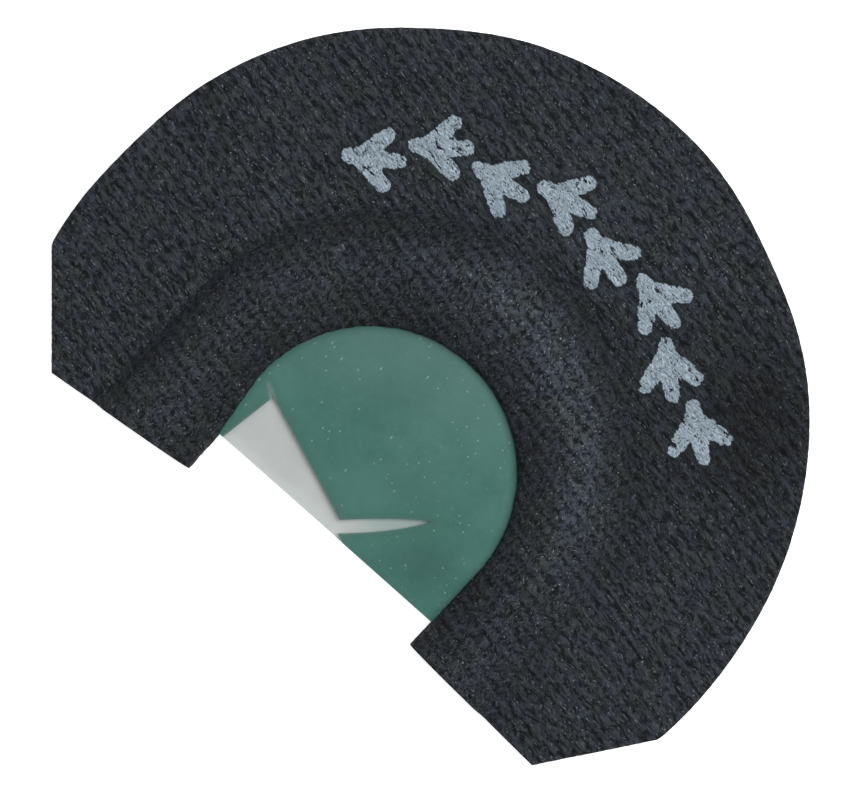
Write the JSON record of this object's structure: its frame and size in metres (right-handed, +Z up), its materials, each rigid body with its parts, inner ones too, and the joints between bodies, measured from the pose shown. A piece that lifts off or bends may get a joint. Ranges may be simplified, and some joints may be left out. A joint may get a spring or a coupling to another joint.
{
  "type": "diaphragm turkey call",
  "caption": "Mouth-held diaphragm call: stacked latex reeds with a V cut and side slit, clamped in a horseshoe frame sealed between layers of woven cloth tape with clipped corners.",
  "frame": {"origin": "Middle of the bounding box, on the plane of the lower ring that the call rests on.", "axes": "+X across the tape from the left leg to the right, +Y from the open front edge to the domed back, +Z up through the cut top reed."},
  "size_m": [0.0488, 0.036, 0.0026],
  "materials": {
    "tape": "near-black woven cloth tape, matte, with a worn pale ink print on the upper skirt",
    "frame": "bare stamped aluminium sheet",
    "top_reed": "green stretched latex, slightly translucent, satin",
    "lower_reed": "translucent white stretched latex, satin",
    "spacer": "thin milky plastic strip"
  },
  "bodies": {
    "mount": {"top_tape": "tape", "bottom_tape": "tape", "frame": "frame", "top_reed": "top_reed", "middle_reed_rim": "lower_reed", "bottom_reed_rim": "lower_reed", "upper_spacer_left": "spacer", "upper_spacer_right": "spacer", "lower_spacer_left": "spacer", "lower_spacer_right": "spacer"},
    "tongue": {"top_reed_tongue": "top_reed"},
    "flap": {"top_reed_flap": "top_reed"},
    "middle_span": {"middle_reed_span": "lower_reed"},
    "bottom_span": {"bottom_reed_span": "lower_reed"}
  },
  "joints": [
    {"name": "tongue_lift", "type": "hinge", "parent": "mount", "child": "tongue", "pos_m": [0, -0.01034, 0.00155], "axis": [-1, 0, 0], "range_deg": [-1, 12], "stiffness_Nm_per_rad": 0.000002},
    {"name": "flap_lift", "type": "hinge", "parent": "mount", "child": "flap", "pos_m": [0.00479, -0.01034, 0.00155], "axis": [-0.6147, 0.7887, 0], "range_deg": [-0.5, 10], "stiffness_Nm_per_rad": 0.000002},
    {"name": "middle_reed_bow", "type": "hinge", "parent": "mount", "child": "middle_span", "pos_m": [0, -0.0019, 0.00128], "axis": [-1, 0, 0], "range_deg": [-2, 0.3], "stiffness_Nm_per_rad": 0.00002},
    {"name": "bottom_reed_bow", "type": "hinge", "parent": "mount", "child": "bottom_span", "pos_m": [0, -0.0019, 0.00101], "axis": [-1, 0, 0], "range_deg": [-2, 0.3], "stiffness_Nm_per_rad": 0.00002}
  ],
  "couplings": [
    {"joint": "bottom_reed_bow", "follows": "middle_reed_bow", "ratio": 1}
  ]
}
